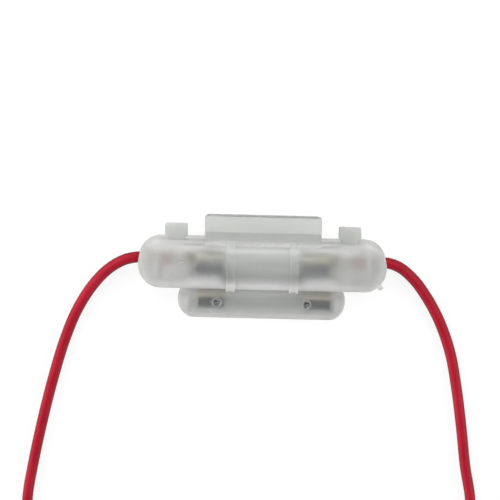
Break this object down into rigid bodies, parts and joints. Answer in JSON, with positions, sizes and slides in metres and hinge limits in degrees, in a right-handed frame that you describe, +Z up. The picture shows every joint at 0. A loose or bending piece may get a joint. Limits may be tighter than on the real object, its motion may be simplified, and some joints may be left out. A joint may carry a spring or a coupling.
{
  "type": "inline fuse holder",
  "caption": "Inline glass fuse holder: hinged translucent case with lead clips, a red lead at each end and a clip-in trough for a spare fuse.",
  "frame": {"origin": "middle of the flat bottom of the base half, on the surface the holder lies on", "axes": "+X along the case, +Y towards the folded hinge web, +Z up out of the cover"},
  "size_m": [0.1061, 0.0863, 0.0113],
  "materials": {
    "milky_plastic": "translucent, fine frosted",
    "plated_brass": "tin plated, satin",
    "fuse_cap": "nickel plated, bright",
    "fuse_glass": "clear",
    "fuse_wire": "satin",
    "copper": "tinned copper strands",
    "red_pvc": "satin",
    "tie_nylon": "smooth"
  },
  "bodies": {
    "base": {"base_shell": "milky_plastic", "terminal_left": "plated_brass", "terminal_right": "plated_brass", "conductor_left": "copper", "conductor_right": "copper", "fuse_glass": "fuse_glass", "fuse_cap_left": "fuse_cap", "fuse_cap_right": "fuse_cap", "fuse_element": "fuse_wire", "spare_fuse_glass": "fuse_glass", "spare_fuse_cap_left": "fuse_cap", "spare_fuse_cap_right": "fuse_cap", "spare_fuse_element": "fuse_wire", "lead_left": "red_pvc", "lead_right": "red_pvc", "lead_tip_left": "copper", "lead_tip_right": "copper", "lead_tie": "tie_nylon"},
    "cover": {"cover_shell": "milky_plastic"}
  },
  "joints": [
    {"name": "cover_hinge", "type": "hinge", "parent": "base", "child": "cover", "pos_m": [0, 0.0111, 0.0054], "axis": [-1, 0, 0], "range_deg": [0, 170]}
  ]
}
